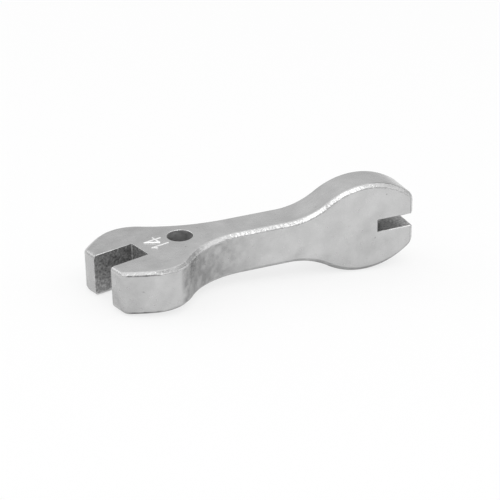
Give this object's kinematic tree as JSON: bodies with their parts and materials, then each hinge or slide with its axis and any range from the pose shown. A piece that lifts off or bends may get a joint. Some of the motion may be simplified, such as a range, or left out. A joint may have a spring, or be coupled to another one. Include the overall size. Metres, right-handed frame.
{
  "type": "spoke wrench",
  "caption": "Pocket spoke wrench forged in one piece: a flat wide jaw turned to one side, a ring hole, a short bar handle and a narrow jaw set on edge.",
  "frame": {"origin": "centre of the ring hole, at half the wide head's thickness", "axes": "+X along the handle towards the narrow head, +Z along the ring hole, normal to the wide head's face"},
  "size_m": [0.0397, 0.0129, 0.011],
  "materials": {
    "plated_steel": "satin bright plating on forged steel, slightly mottled, with rubbed edges"
  },
  "bodies": {
    "root": {"wide_head": "plated_steel", "handle": "plated_steel", "narrow_head": "plated_steel"}
  },
  "joints": []
}
